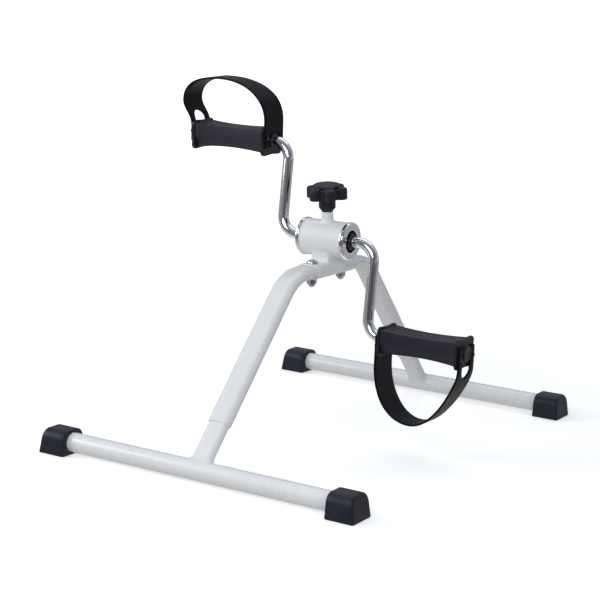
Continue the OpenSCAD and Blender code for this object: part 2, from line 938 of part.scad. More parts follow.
pedal_outer_plate(-1);  // left_pedal_outer_plate
pedal_strap(-1);  // left_pedal_strap
pedal_body(1);  // right_pedal_body
pedal_inner_plate(1);  // right_pedal_inner_plate
pedal_outer_plate(1);  // right_pedal_outer_plate
pedal_strap(1);  // right_pedal_strap
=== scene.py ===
import json
import math
import bmesh
import bpy
from mathutils import Matrix, Vector
from mathutils.geometry import delaunay_2d_cdt


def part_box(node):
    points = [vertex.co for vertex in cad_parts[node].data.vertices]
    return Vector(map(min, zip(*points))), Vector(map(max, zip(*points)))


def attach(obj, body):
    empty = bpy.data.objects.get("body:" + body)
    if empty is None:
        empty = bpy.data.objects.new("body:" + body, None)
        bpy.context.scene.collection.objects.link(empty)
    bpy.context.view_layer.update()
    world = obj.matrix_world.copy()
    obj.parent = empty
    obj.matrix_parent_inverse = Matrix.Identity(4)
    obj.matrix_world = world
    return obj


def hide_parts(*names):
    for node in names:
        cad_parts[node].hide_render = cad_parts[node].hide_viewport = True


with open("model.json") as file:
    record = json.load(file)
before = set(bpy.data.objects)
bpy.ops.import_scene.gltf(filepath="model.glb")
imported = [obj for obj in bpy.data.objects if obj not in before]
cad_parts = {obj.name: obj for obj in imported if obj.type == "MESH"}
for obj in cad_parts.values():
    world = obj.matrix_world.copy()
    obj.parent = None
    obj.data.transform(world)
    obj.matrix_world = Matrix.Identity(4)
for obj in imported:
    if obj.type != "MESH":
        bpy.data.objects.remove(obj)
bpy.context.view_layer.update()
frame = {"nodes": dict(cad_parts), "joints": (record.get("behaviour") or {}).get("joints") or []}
MM = 0.001


# -------------------------------- shader helpers

class Tree:
    """A thin helper around a node tree."""

    def __init__(self, tree):
        self.tree = tree
        self.tree.nodes.clear()
        self.coord = self.add("ShaderNodeTexCoord")

    def add(self, kind):
        return self.tree.nodes.new(kind)

    def link(self, a, out, b, into):
        self.tree.links.new(a.outputs[out], b.inputs[into])

    def noise(self, scale, detail, rough, stretch=None):
        """Noise over the object's own coordinates, drawn out along an axis where stretch is given."""
        node = self.add("ShaderNodeTexNoise")
        for key, value in {"Scale": scale, "Detail": detail, "Roughness": rough}.items():
            node.inputs[key].default_value = value
        if stretch:
            mapping = self.add("ShaderNodeMapping")
            mapping.inputs["Scale"].default_value = stretch
            self.link(self.coord, "Object", mapping, "Vector")
            self.link(mapping, "Vector", node, "Vector")
        else:
            self.link(self.coord, "Object", node, "Vector")
        return node

    def ramp(self, source, out, stops):
        node = self.add("ShaderNodeValToRGB")
        elements = node.color_ramp.elements
        while len(elements) < len(stops):
            elements.new(0.5)
        for element, (at, colour) in zip(elements, stops):
            element.position = at
            element.color = (*colour, 1)
        self.link(source, out, node, "Fac")
        return node

    def spread(self, source, out, low, high, from_low, from_high=1.0):
        node = self.add("ShaderNodeMapRange")
        limits = {"From Min": from_low, "From Max": from_high, "To Min": low, "To Max": high}
        for key, value in limits.items():
            node.inputs[key].default_value = value
        self.link(source, out, node, "Value")
        return node

    def bump(self, source, out, strength, distance, after=None):
        node = self.add("ShaderNodeBump")
        node.inputs["Strength"].default_value = strength
        node.inputs["Distance"].default_value = distance
        self.link(source, out, node, "Height")
        if after:
            self.link(after, "Normal", node, "Normal")
        return node

    def mix(self, a, a_out, b, b_out, blend="MIX"):
        """A colour mix of two nodes, all of b until its factor, input 0, is set."""
        node = self.add("ShaderNodeMix")
        node.data_type = "RGBA"
        node.blend_type = blend
        node.inputs[0].default_value = 1.0
        self.link(a, a_out, node, 6)
        if b:
            self.link(b, b_out, node, 7)
        return node


class Finish(Tree):
    """A material with one principled shader."""

    def __init__(self, name):
        self.mat = bpy.data.materials.new(name)
        self.mat.use_nodes = True
        super().__init__(self.mat.node_tree)
        self.bsdf = self.add("ShaderNodeBsdfPrincipled")
        self.link(self.bsdf, "BSDF", self.add("ShaderNodeOutputMaterial"), "Surface")

    def plug(self, node, out, socket):
        self.link(node, out, self.bsdf, socket)


# -------------------------------- materials

def powder_coat():
    """Gloss white coat with slight orange peel under a clear film."""
    n = Finish("white_powder_coat")
    patch = n.noise(14, 3, 0.5)
    colour = n.ramp(patch, "Fac", [(0.3, (0.690, 0.703, 0.715)), (0.7, (0.710, 0.721, 0.731))])
    specks = n.noise(1100, 2, 0.5)
    dust = n.ramp(specks, "Fac", [(0.0, (0.90, 0.90, 0.89)), (0.30, (1, 1, 1))])
    tint = n.mix(colour, "Color", dust, "Color", "MULTIPLY")
    tint.inputs[0].default_value = 0.3
    n.plug(tint, 2, "Base Color")
    rough = n.noise(50, 3, 0.5)
    n.plug(n.spread(rough, "Fac", 0.25, 0.29, 0.3, 0.7), "Result", "Roughness")
    peel = n.bump(n.noise(520, 2, 0.45), "Fac", 0.02, 0.0003)
    n.plug(n.bump(n.noise(2200, 2, 0.5), "Fac", 0.03, 0.0001, peel), "Normal", "Normal")
    n.bsdf.inputs["Coat Weight"].default_value = 0.4
    n.bsdf.inputs["Coat Roughness"].default_value = 0.09
    return n.mat


def chrome():
    """Polished plate with a little haze and fine scratches."""
    n = Finish("polished_chrome")
    n.bsdf.inputs["Metallic"].default_value = 1.0
    haze = n.noise(35, 4, 0.6)
    colour = n.ramp(haze, "Fac", [(0.3, (0.80, 0.81, 0.83)), (0.7, (0.90, 0.90, 0.91))])
    n.plug(colour, "Color", "Base Color")
    wear = n.noise(140, 5, 0.65)
    n.plug(n.spread(wear, "Fac", 0.035, 0.13, 0.35, 0.75), "Result", "Roughness")
    scratch = n.noise(260, 3, 0.6, stretch=(9, 0.7, 0.7))
    n.plug(n.bump(scratch, "Fac", 0.025, 0.0002), "Normal", "Normal")
    return n.mat


def zinc():
    """Bright zinc plate with patches of duller metal."""
    n = Finish("bright_zinc")
    n.bsdf.inputs["Metallic"].default_value = 1.0
    patch = n.noise(220, 4, 0.6)
    colour = n.ramp(patch, "Fac", [(0.3, (0.50, 0.51, 0.53)), (0.75, (0.68, 0.68, 0.66))])
    n.plug(colour, "Color", "Base Color")
    n.plug(n.spread(patch, "Fac", 0.16, 0.36, 0.3, 0.7), "Result", "Roughness")
    grain = n.noise(900, 4, 0.6)
    n.plug(n.bump(grain, "Fac", 0.12, 0.0002), "Normal", "Normal")
    return n.mat


def moulded(name, dark, light, rough, grain, depth, shine):
    """Moulded plastic or rubber: fine grain, faint flow patches, and paler tops: dust plus a painted
    overhead sheen.
    """
    n = Finish(name)
    flow = n.noise(22, 4, 0.55)
    base = n.ramp(flow, "Fac", [(0.3, dark), (0.72, light)])
    part = n.add("ShaderNodeSeparateXYZ")
    n.link(n.add("ShaderNodeNewGeometry"), "Normal", part, "Vector")
    # up-facing faces get a paler base colour in noise patches: dust, with a painted sheen of light from
    # above
    up = n.spread(part, "Z", 0.0, 0.35, 0.55, 1.0)
    film = n.spread(n.noise(380, 5, 0.7), "Fac", 0.0, 1.0, 0.42, 0.8)
    dust_and_sheen = n.add("ShaderNodeMath")
    dust_and_sheen.operation = "MULTIPLY"
    n.link(up, "Result", dust_and_sheen, 0)
    n.link(film, "Result", dust_and_sheen, 1)
    colour = n.mix(base, "Color", None, None)
    colour.inputs[7].default_value = (light[0] * 1.15, light[1] * 1.15, light[2] * 1.12, 1)
    n.link(dust_and_sheen, "Value", colour, 0)
    n.plug(colour, 2, "Base Color")
    patch = n.noise(75, 4, 0.6)
    n.plug(n.spread(patch, "Fac", *rough, 0.3, 0.7), "Result", "Roughness")
    cells = n.add("ShaderNodeTexVoronoi")
    cells.inputs["Scale"].default_value = grain * 0.8
    n.link(n.coord, "Object", cells, "Vector")
    fine = n.bump(n.noise(grain, 3, 0.6), "Fac", depth, 0.0002)
    n.plug(n.bump(cells, "Distance", depth * 0.5, 0.0001, fine), "Normal", "Normal")
    n.bsdf.inputs["Specular IOR Level"].default_value = shine
    return n.mat


WHITE, CHROME, ZINC = powder_coat(), chrome(), zinc()
CAP = moulded("cap_rubber", (0.008, 0.009, 0.017), (0.013, 0.014, 0.025), (0.36, 0.50), 1100, 0.25, 0.30)
PLASTIC = moulded("pedal_plastic", (0.011, 0.0115, 0.020), (0.016, 0.0165, 0.028), (0.36, 0.50),
                  1500, 0.2, 0.3)
PLATE = moulded("plate_plastic", (0.004, 0.004, 0.007), (0.008, 0.008, 0.012), (0.32, 0.46), 1500, 0.2, 0.35)
KNOB = moulded("knob_plastic", (0.009, 0.009, 0.016), (0.015, 0.015, 0.024), (0.42, 0.56), 900, 0.4, 0.3)
STRAP = moulded("strap_rubber", (0.0022, 0.0022, 0.0036), (0.0045, 0.0045, 0.0065), (0.36, 0.50),
                1300, 0.2, 0.1)
BUSH = moulded("bush_plastic", (0.006, 0.006, 0.008), (0.012, 0.012, 0.014), (0.32, 0.45), 1300, 0.2, 0.35)
NYLON = moulded("shoe_nylon", (0.60, 0.58, 0.52), (0.68, 0.66, 0.60), (0.40, 0.55), 1500, 0.25, 0.5)


# -------------------------------- mesh helpers (lengths in mm)

def turns(count):
    """Evenly spaced angles round a full turn."""
    return [2 * math.pi * k / count for k in range(count)]


def circle(r, z, count):
    """A level ring round Z."""
    return [(r * math.cos(t), r * math.sin(t), z) for t in turns(count)]


def join(*parts):
    """Puts (vertices, faces) parts together."""
    verts, faces = [], []
    for v, f in parts:
        k = len(verts)
        verts += [tuple(p) for p in v]
        faces += [tuple(i + k for i in face) for face in f]
    return verts, faces


def place(part, matrix):
    v, f = part
    return [tuple(matrix @ Vector(p)) for p in v], f


def loft(rings, loop=False, caps=(False, False)):
    """Quads between rings of equal length; loop joins the last ring to the first."""
    n = len(rings[0])
    verts = [p for ring in rings for p in ring]
    faces = []
    pairs = len(rings) if loop else len(rings) - 1
    for i in range(pairs):
        a, b = i * n, ((i + 1) % len(rings)) * n
        for j in range(n):
            k = (j + 1) % n
            faces.append((a + j, a + k, b + k, b + j))
    if caps[0]:
        faces.append(tuple(range(n))[::-1])
    if caps[1]:
        faces.append(tuple(range((len(rings) - 1) * n, len(rings) * n)))
    return verts, faces


def lathe(profile, steps, loop=False):
    """Turns (radius, height) points about Z; a zero radius at either end becomes a pole."""
    verts, faces, rows = [], [], []
    for r, z in profile:
        if r < 1e-6 and not loop:
            rows.append([len(verts)] * steps)
            verts.append((0, 0, z))
        else:
            rows.append(list(range(len(verts), len(verts) + steps)))
            verts += circle(r, z, steps)
    for i in range(len(rows) if loop else len(rows) - 1):
        a, b = rows[i], rows[(i + 1) % len(rows)]
        for j in range(steps):
            k = (j + 1) % steps
            corners = tuple(dict.fromkeys((a[j], a[k], b[k], b[j])))
            if len(corners) > 2:
                faces.append(corners)
    return verts, faces


def fillet(points, radii, steps, closed=True):
    """Rounds the corners of a 2-D outline."""
    out = []
    n = len(points)
    for i, (p, r) in enumerate(zip(points, radii)):
        if r <= 0 or (not closed and i in (0, n - 1)):
            out.append(tuple(p))
            continue
        p = Vector(p)
        a = Vector(points[i - 1]) - p
        b = Vector(points[(i + 1) % n]) - p
        la, lb = a.length, b.length
        a.normalize()
        b.normalize()
        half = math.acos(max(-1, min(1, a.dot(b)))) / 2
        reach = min(r / math.tan(half), 0.49 * la, 0.49 * lb)
        r = reach * math.tan(half)
        centre = p + (a + b).normalized() * (r / math.sin(half))
        start, end = p + a * reach - centre, p + b * reach - centre
        turn = start.angle_signed(end)
        for k in range(steps + 1):
            q = start.copy()
            q.rotate(Matrix.Rotation(-turn * k / steps, 2))
            out.append(tuple(centre + q))
    return out


def on_rays(outline, count, centre=(0, 0)):
    """Resamples a star-shaped outline on evenly spaced rays from a centre."""
    pts = [(x - centre[0], y - centre[1]) for x, y in outline]
    out = []
    for t in turns(count):
        dx, dy = math.cos(t), math.sin(t)
        best = 0
        for i, (ax, ay) in enumerate(pts):
            bx, by = pts[(i + 1) % len(pts)]
            ex, ey = bx - ax, by - ay
            den = dx * ey - dy * ex
            if abs(den) < 1e-12:
                continue
            s = (ax * ey - ay * ex) / den
            u = (ax * dy - ay * dx) / den
            if -1e-9 <= u <= 1 + 1e-9 and s > best:
                best = s
        out.append((centre[0] + best * dx, centre[1] + best * dy))
    return out


def arc(cx, cy, r, a0, a1, steps):
    """Points of an arc, angles in degrees."""
    angles = [math.radians(a0 + (a1 - a0) * k / steps) for k in range(steps + 1)]
    return [(cx + r * math.cos(a), cy + r * math.sin(a)) for a in angles]


def oval(w, t, steps=24):
    """Flat oval, long side along the first axis, as a closed outline."""
    h = (w - t) / 2
    return arc(h, 0, t / 2, -90, 90, steps) + arc(-h, 0, t / 2, 90, 270, steps)


def piece(name, part, material, body, replaces=(), sharp=38):
    """Makes a mesh object of a part, with smooth faces that break at edges over sharp degrees."""
    verts, faces = part
    mesh = bpy.data.meshes.new(name)
    mesh.from_pydata([(x * MM, y * MM, z * MM) for x, y, z in verts], [], faces)
    work = bmesh.new()
    work.from_mesh(mesh)
    bmesh.ops.remove_doubles(work, verts=work.verts, dist=1e-7)
    bmesh.ops.dissolve_degenerate(work, edges=work.edges, dist=1e-8)
    bmesh.ops.recalc_face_normals(work, faces=work.faces)
    work.to_mesh(mesh)
    work.free()
    mesh.shade_smooth()
    mesh.set_sharp_from_angle(angle=math.radians(sharp))
    obj = bpy.data.objects.new(name, mesh)
    bpy.context.scene.collection.objects.link(obj)
    mesh.materials.append(material)
    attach(obj, body)
    if replaces:
        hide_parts(*replaces)


def painted(name, part, *nodes, sharp=38):
    """A piece of the welded frame, in the white coat."""
    piece(name, part, WHITE, "frame", nodes, sharp)


# -------------------------------- sizes (mm)

def cad(node):
    """Lowest and highest corners of a CAD node at rest."""
    return [[round(v / MM, 2) for v in corner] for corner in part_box(node)]


def joint_at(name):
    """A point on a hinge's axis."""
    return next([round(v / MM, 3) for v in j["pos_m"]] for j in frame["joints"] if j["name"] == name)


SIDE = {"left": -1, "right": 1}
ALONG_X = Matrix.Rotation(math.pi / 2, 4, "Y")

# floor bars
BAR_LOW, BAR_HIGH = cad("rear_base_bar")
BAR_END = BAR_HIGH[0]
BAR_Y = (BAR_LOW[1] + BAR_HIGH[1]) / 2
BAR_H = (BAR_LOW[2] + BAR_HIGH[2]) / 2
BAR_R = (BAR_HIGH[2] - BAR_LOW[2]) / 2

# legs, the stubs inside them and the bracket round them
LEG_W, LEG_T, LEG_WALL = 26.4, 13.4, 1.3
STUB_W, STUB_T = 23.6, 10.6
BRACKET_W, BRACKET_T = LEG_W + 3.0, LEG_T + 3.0
BRACKET_LOW, BRACKET_HIGH = cad("hub_bracket")
BRACKET_END, BRACKET_H = BRACKET_HIGH[1], BRACKET_LOW[2] + BRACKET_T / 2
BOLT_Y = 31.0
CORNER_Y, BEND_R, SEAM_UP = 77.0, 55.0, 55.0
LEG_ANGLE = math.atan2(BRACKET_H - BAR_H, BAR_Y - CORNER_Y)
LEG_END = cad("rear_leg")[0][1]

# hub and the boss on it
HUB_H = joint_at("crank_spin")[2]
HUB_R, HUB_END = 20.3, cad("hub_shell")[1][0]
RING_OUT, RING_R = cad("right_hub_ring")[1][:2]
STUD_AXIS = next(j["axis"] for j in frame["joints"] if j["name"] == "knob_turn")
BOSS_LEAN = math.atan2(-STUD_AXIS[1], STUD_AXIS[2])

# cranks and pedals
PEDAL_AT = {side: joint_at(f"{side}_pedal_spin") for side in SIDE}
PEDAL_LEAN = {"left": math.radians(1.5), "right": math.radians(-0.5)}
CRANK_R = round(math.hypot(PEDAL_AT["left"][1], PEDAL_AT["left"][2] - HUB_H), 2)
CRANK_LEAN = math.atan2(PEDAL_AT["left"][1], PEDAL_AT["left"][2] - HUB_H)
ARM_X, ROD_BEND, ROD_R = 60.0, 20.0, 6.0
ROD_END = cad("right_crank")[1][0]
BODY_IN, BODY_OUT = (corner[0] for corner in cad("right_pedal_body"))
PLATE_IN, PLATE_OUT = BODY_IN - 3.5, BODY_OUT + 3.5
PEDAL_STUD_Y = 15

# strap, to the middle of its thickness
STRAP_T, TAB_END = 2.2, -8.0
STRAP_LOW, STRAP_HIGH = cad("right_pedal_strap")
TAB_IN, TAB_OUT = STRAP_LOW[0] + STRAP_T / 2, STRAP_HIGH[0] - STRAP_T / 2


# -------------------------------- floor bars, caps

def foot_cap():
    """One cap on the +X end of a bar at y 0; its mouth looks towards -X and it stands on z 0."""
    (x0, y0, _), (x1, y1, top) = cad("rear_right_foot_cap")
    count, half, shoulder, lean = 112, (y1 - y0) / 2, 10.0, 1.5

    def outline(inset):
        h, t = half - inset, top - inset
        pts = [(-h, 0), (h, 0)]
        pts += arc(h - shoulder - lean, t - shoulder, shoulder, 5, 85, 18)
        pts += arc(-(h - shoulder - lean), t - shoulder, shoulder, 95, 175, 18)
        return on_rays(fillet(pts, [1.3, 1.3] + [0] * 38, 5), count, (0, BAR_H))

    def ring(x, inset):
        return [(x, y, z) for y, z in outline(inset)]

    def hole(x, r):
        return [(x, y, BAR_H + z) for y, z, _ in circle(r, 0, count)]

    bore, lip = BAR_R + 0.02, 1.7
    rings = [hole(x0 + 12, bore), hole(x0 + 0.6, bore), hole(x0 + 0.15, bore + 0.2), hole(x0, bore + 0.7)]
    for a in map(math.radians, (0, 22, 45, 68, 90)):
        rings.append(ring(x0 + lip * (1 - math.cos(a)), lip * (1 - math.sin(a))))
    rings += [ring(x, 0) for x in (x0 + 8, x0 + 16, x0 + 23)]

    # the end face leans in towards the top and meets the sides in a full shoulder
    end_round, end_lean, foot = 3.0, 3.2, 9

    def end_x(z):
        return x1 - end_lean * (max(z, 0) / top) ** 1.3

    for a in map(math.radians, range(0, 91, 10)):
        row = []
        for y, z in outline(end_round * (1 - math.cos(a)) * 0.8):
            soft = end_round * (0.3 + 0.7 * min(1.0, z / foot))
            row.append((end_x(z) - soft * (1 - math.sin(a)), y, z))
        rings.append(row)
    edge = rings[-1]
    for k in (0.8, 0.5, 0.2):
        rings.append([(end_x((z - foot) * k + foot), y * k, (z - foot) * k + foot) for x, y, z in edge])
    return loft(rings, caps=(True, True))


def floor_bar(y):
    """Round tube whose eased ends stand inside the caps."""
    r, wall, ease = BAR_R, 1.2, 0.3
    profile = [(r, -BAR_END + ease), (r, -BAR_END / 2), (r, 0), (r, BAR_END / 2), (r, BAR_END - ease),
               (r - ease, BAR_END), (r - wall, BAR_END), (r - wall, -BAR_END), (r - ease, -BAR_END)]
    return place(lathe(profile, 96, loop=True), Matrix.Translation((0, y, BAR_H)) @ ALONG_X)


CAP_MESH = foot_cap()
for front, y in (("front", -BAR_Y), ("rear", BAR_Y)):
    for side, s in SIDE.items():
        turn = Matrix.Translation((0, y, 0)) @ Matrix.Diagonal((s, 1, 1, 1))
        piece(f"{front}_{side}_cap_moulding", place(CAP_MESH, turn), CAP, "frame",
              [f"{front}_{side}_foot_cap"], sharp=50)
for front, y in (("front", -BAR_Y), ("rear", BAR_Y)):
    painted(f"{front}_bar_tube", floor_bar(y), f"{front}_base_bar")


# -------------------------------- legs and stubs (drawn for the far side)

ACROSS = Vector((1, 0, 0))
UP_LEG = Vector((0, -math.cos(LEG_ANGLE), math.sin(LEG_ANGLE)))
FOOT = Vector((0, BAR_Y, BAR_H))


def leg_path():
    """Points and directions along the leg's centreline in the YZ plane, from the seam to the hub."""
    tangent = BEND_R * math.tan(LEG_ANGLE / 2)
    slant = math.hypot(BAR_Y - CORNER_Y, BRACKET_H - BAR_H)
    stops = (SEAM_UP, SEAM_UP + 0.35, SEAM_UP + 1.0, SEAM_UP + 25, (SEAM_UP + slant) / 2,
             slant - tangent - 15, slant - tangent)
    out = [(FOOT + UP_LEG * s, UP_LEG) for s in stops]
    centre = Vector((0, CORNER_Y - tangent, BRACKET_H - BEND_R))
    steps = 28
    for k in range(1, steps + 1):
        a = math.pi / 2 - LEG_ANGLE + LEG_ANGLE * k / steps
        out.append((centre + Vector((0, math.cos(a), math.sin(a))) * BEND_R,
                    Vector((0, -math.sin(a), math.cos(a)))))
    for y in (CORNER_Y - tangent - 12, LEG_END + 0.6, LEG_END):
        out.append((Vector((0, y, BRACKET_H)), Vector((0, -1, 0))))
    return out


def leg():
    """Bent flat-oval tube with an eased lip at each end."""
    path = leg_path()
    outer = oval(LEG_W, LEG_T)
    inner = oval(LEG_W - 2 * LEG_WALL, LEG_T - 2 * LEG_WALL)
    lip = oval(LEG_W - 0.7, LEG_T - 0.7)

    def ring(shape, p, d):
        normal = ACROSS.cross(d)
        return [tuple(p + ACROSS * u + normal * v) for u, v in shape]

    rings = [ring(lip, *path[0])] + [ring(outer, *step) for step in path[1:-1]] + [ring(lip, *path[-1])]
    rings += [ring(inner, *step) for step in reversed(path)]
    return loft(rings, loop=True)


def on_bar(c):
    """How far a point of the stub, c off its centre, stands from the bar's axis."""
    return math.sqrt(max(0.0, BAR_R ** 2 - c * c))


def stub():
    """Stub tube from inside the leg down to the bar, where the weld flares out on to the tube."""
    normal = ACROSS.cross(UP_LEG)

    def at(u, v, s):
        return tuple(FOOT + ACROSS * u + normal * v + UP_LEG * s)

    def shape(grow):
        return oval(STUB_W + 2 * grow, STUB_T + 2 * grow, 25)

    end = SEAM_UP + 40
    rings = [[at(u, v, s) for u, v in shape(-LEG_WALL)] for s in (SEAM_UP - 2, end)]
    rings += [[at(u, v, s) for u, v in shape(0)] for s in (end, SEAM_UP + 10, SEAM_UP - 4, 40, 26)]
    rise, reach, beads, steps = 7.5, 4.0, 17, 10
    for k in range(steps + 1):
        a = math.pi / 2 * k / steps
        outline = shape(reach * (1 - math.cos(a)))
        row = []
        for (u, v), t in zip(outline, turns(len(outline))):
            ripple = 0.10 * math.sin(t * beads) * math.sin(2 * a)
            row.append(at(u, v, on_bar(v) + (rise + ripple) * (1 - math.sin(a))))
        rings.append(row)
    rings.append([at(u, v, on_bar(v) - 0.35) for u, v in shape(reach + 0.1)])
    return loft(rings, caps=(True, True))


LEG_MESH, STUB_MESH = leg(), stub()
for front, s in (("front", -1), ("rear", 1)):
    turn = Matrix.Diagonal((1, s, 1, 1))
    painted(f"{front}_leg_tube", place(LEG_MESH, turn), f"{front}_leg")
    painted(f"{front}_stub_and_weld", place(STUB_MESH, turn), f"{front}_leg_stub", sharp=50)


# -------------------------------- hub bracket with its saddle

def bracket_tube():
    """Flat-oval tube round both legs' ends, with eased and chamfered mouths."""
    wall, end = 1.4, BRACKET_END

    def ring(grow, y):
        return [(u, y, BRACKET_H + v) for u, v in oval(BRACKET_W + 2 * grow, BRACKET_T + 2 * grow)]

    rings = [ring(0, y) for y in (-end + 0.5, -end + 6, -20, 0, 20, end - 6, end - 0.5)]
    rings += [ring(-0.15, end - 0.15), ring(-0.5, end), ring(-wall + 0.35, end), ring(-wall, end - 0.4)]
    rings += [ring(-wall, -end + 0.4), ring(-wall + 0.35, -end), ring(-0.5, -end), ring(-0.15, -end + 0.15)]
    return loft(rings, loop=True)


def under_hub(y):
    """Height of the hub's underside."""
    return HUB_H - math.sqrt(max(0.0, HUB_R * HUB_R - y * y))


def on_bracket(x):
    """Height of the bracket's top."""
    flat, r = (BRACKET_W - BRACKET_T) / 2, BRACKET_T / 2
    return BRACKET_H + math.sqrt(max(0.0, r * r - max(0.0, abs(x) - flat) ** 2))


def saddle():
    """Formed saddle between bracket and hub, with a weld fillet along its foot and its top edge."""
    half_x, half_y = 11.5, 16
    corners = [(-half_x, -half_y), (half_x, -half_y), (half_x, half_y), (-half_x, half_y)]
    outline = on_rays(fillet(corners, [3] * 4, 8), 96)

    def ring(grow, height):
        row = []
        for x, y in outline:
            k = 1 + grow / math.hypot(x, y)
            row.append((x * k, y * k, height(x * k, y * k)))
        return row

    def middle(x, y):
        return (on_bracket(x) + 2.4 + max(under_hub(y) - 2.2, on_bracket(x) + 2.5)) / 2

    rings = []
    for grow, up in ((1.9, -0.3), (1.7, 0.0), (1.0, 0.3), (0.45, 0.9), (0.12, 1.7)):
        rings.append(ring(grow, lambda x, y: on_bracket(x) + up))
    rings.append(ring(0, middle))
    for grow, down in ((0.15, 1.7), (0.5, 0.9), (1.1, 0.3), (1.8, 0.0), (2.0, -0.3)):
        rings.append(ring(grow, lambda x, y: max(under_hub(y) - down, on_bracket(x) + 0.4)))
    return loft(rings, caps=(True, True))


painted("bracket_tube", bracket_tube(), "hub_bracket")
painted("bracket_saddle", saddle(), sharp=60)


# -------------------------------- hub

def on_axle(side=1):
    """Lathe axis Z turned on to X at hub height; side -1 mirrors it to the left."""
    return Matrix.Diagonal((side, 1, 1, 1)) @ Matrix.Translation((0, 0, HUB_H)) @ ALONG_X


# the boss, the knob and the stud lean towards the near bar, about the hub's axis
BOSS_TURN = (Matrix.Translation((0, 0, HUB_H)) @ Matrix.Rotation(BOSS_LEAN, 4, "X")
             @ Matrix.Translation((0, 0, -HUB_H)))


def hub_shell():
    """Tube whose ends stand inside the chrome rings."""
    r, bore, end, ease = HUB_R, 18.0, HUB_END, 0.2
    profile = [(r, -end + ease)] + [(r, z) for z in range(-24, 25, 6)] + [(r, end - ease), (r - ease, end)]
    profile += [(bore, end), (bore, -end), (r - ease, -end)]
    return place(lathe(profile, 128, loop=True), on_axle())


def boss():
    """Threaded boss whose foot flares on to the hub like a fillet weld."""
    count, r, bore, top = 72, 6.4, 4.06, 31.0
    rings = [circle(bore, HUB_H + 22, count), circle(bore, HUB_H + top - 0.7, count)]
    for radius, z in ((4.7, top), (5.9, top), (6.25, top - 0.15), (r, top - 0.5)):
        rings.append(circle(radius, HUB_H + z, count))
    reach, rise, steps = 2.6, 5.0, 8
    for step in range(steps + 1):
        a = math.pi / 2 * step / steps
        weld = HUB_H + rise * (1 - math.sin(a)) - 0.02
        rings.append([(x, y, weld + math.sqrt(HUB_R ** 2 - y * y))
                      for x, y, _ in circle(r + reach * (1 - math.cos(a)), 0, count)])
    rings.append([(x * 1.01, y * 1.01, z - 0.4) for x, y, z in rings[-1]])
    return loft(rings, caps=(True, True))


def hub_ring():
    """Pressed chrome cup: rolled outer edge, slightly dished face, turned-in lip round the bush."""
    r, out, bore, roll = RING_R, RING_OUT, HUB_R + 0.05, 1.9
    profile = [(bore, 29.2), (bore, 25.95), (bore + 0.3, 25.9), (r - 0.15, 25.95), (r, 26.2), (r, 27.1)]
    profile += arc(r - roll, out - roll, roll, 0, 90, 10)
    profile += [(17.6, out - 0.12), (15.6, out - 0.25), (13.9, out - 0.2), (13.0, out - 0.06)]
    profile += [(12.6, out - 0.25), (12.4, out - 0.6), (12.35, out - 1.15), (14, 29.35), (19, 29.35)]
    return lathe(profile, 128, loop=True)


def hub_bush():
    """Moulded bush: collar round the rod with a lip seal groove, in a recess inside the ring."""
    bore, rim, back = 6.06, 17.95, 16.5
    collar = [(bore, back), (bore, 30.1), (6.4, 30.45), (8.3, 30.5), (8.6, 30.3), (8.7, 29.7)]
    seal = [(9.0, 29.6), (9.2, 30.1), (9.6, 30.4), (9.9, 30.2), (10.0, 29.8)]
    recess = [(10.0, 25.7), (10.3, 25.4), (12.0, 25.3), (12.3, 25.6), (12.3, 29.1)]
    outside = [(rim - 0.05, 29.2), (rim, 28.8), (rim, back)]
    return lathe(collar + seal + recess + outside, 96, loop=True)


painted("hub_tube", hub_shell(), "hub_shell")
painted("boss_and_weld", place(boss(), BOSS_TURN), "knob_boss", sharp=50)
for side, s in SIDE.items():
    piece(f"{side}_ring_cup", place(hub_ring(), on_axle(s)), CHROME, "frame",
          [f"{side}_hub_ring"], sharp=60)
    piece(f"{side}_bush_seal", place(hub_bush(), on_axle(s)), BUSH, "frame",
          [f"{side}_hub_bush"])


# -------------------------------- leg bolts

def at_bolts(part, turn=0.0):
    """A part drawn round Z, at both bolts and turned a little each way."""
    return join(*[place(part, Matrix.Translation((0, s * BOLT_Y, 0)) @ Matrix.Rotation(turn * s, 4, "Z"))
                  for s in (-1, 1)])


def bolt():
    """Domed head on the bracket and a plain shank down into the nut."""
    head, foot, shank = BRACKET_H + BRACKET_T / 2, BRACKET_H - 15.6, 3
    profile = [(0, head + 4.6), (1.6, head + 4.5), (3.2, head + 4.05), (4.6, head + 3.2), (5.5, head + 2.1)]
    profile += [(5.9, head + 1.1), (6.0, head + 0.5), (5.85, head), (shank, head), (shank, foot)]
    profile += [(shank - 0.4, foot - 0.3), (0, foot - 0.3)]
    return lathe(profile, 64)


def washer():
    high, hole, rim, thick, ease = BRACKET_H - BRACKET_T / 2, 3.3, 6.2, 1.4, 0.2
    low = high - thick
    profile = [(hole, high), (rim - ease, high), (rim, high - ease), (rim, low + ease), (rim - ease, low),
               (hole, low)]
    return lathe(profile, 64, loop=True)


def domed_nut():
    """Hexagon with chamfered corners and a rounded dome below it."""
    count, flat, side = 96, 5.0, math.pi / 3
    top = BRACKET_H - BRACKET_T / 2 - 1.4

    def hexagon(limit, down):
        row = []
        for t in turns(count):
            r = min(flat / math.cos(t % side - side / 2), limit)
            row.append((r * math.cos(t), r * math.sin(t), top - down))
        return row

    rings = [hexagon(5.2, 0), hexagon(5.75, 0.45), hexagon(5.78, 4.4), hexagon(5.1, 5.0)]
    dome = ((4.1, 5.1), (4.0, 5.5), (3.85, 6.3), (3.4, 7.2), (2.6, 8.1), (1.6, 8.7), (0.6, 8.95))
    rings += [circle(r, top - down, count) for r, down in dome]
    return loft(rings, caps=(True, True))


piece("dome_bolts", at_bolts(bolt()), ZINC, "frame", ["leg_bolts"])
piece("flat_washers", at_bolts(washer()), ZINC, "frame", ["leg_bolt_washers"])
piece("domed_nuts", at_bolts(domed_nut(), 0.3), ZINC, "frame", ["leg_bolt_nuts"], sharp=25)


# -------------------------------- cranks

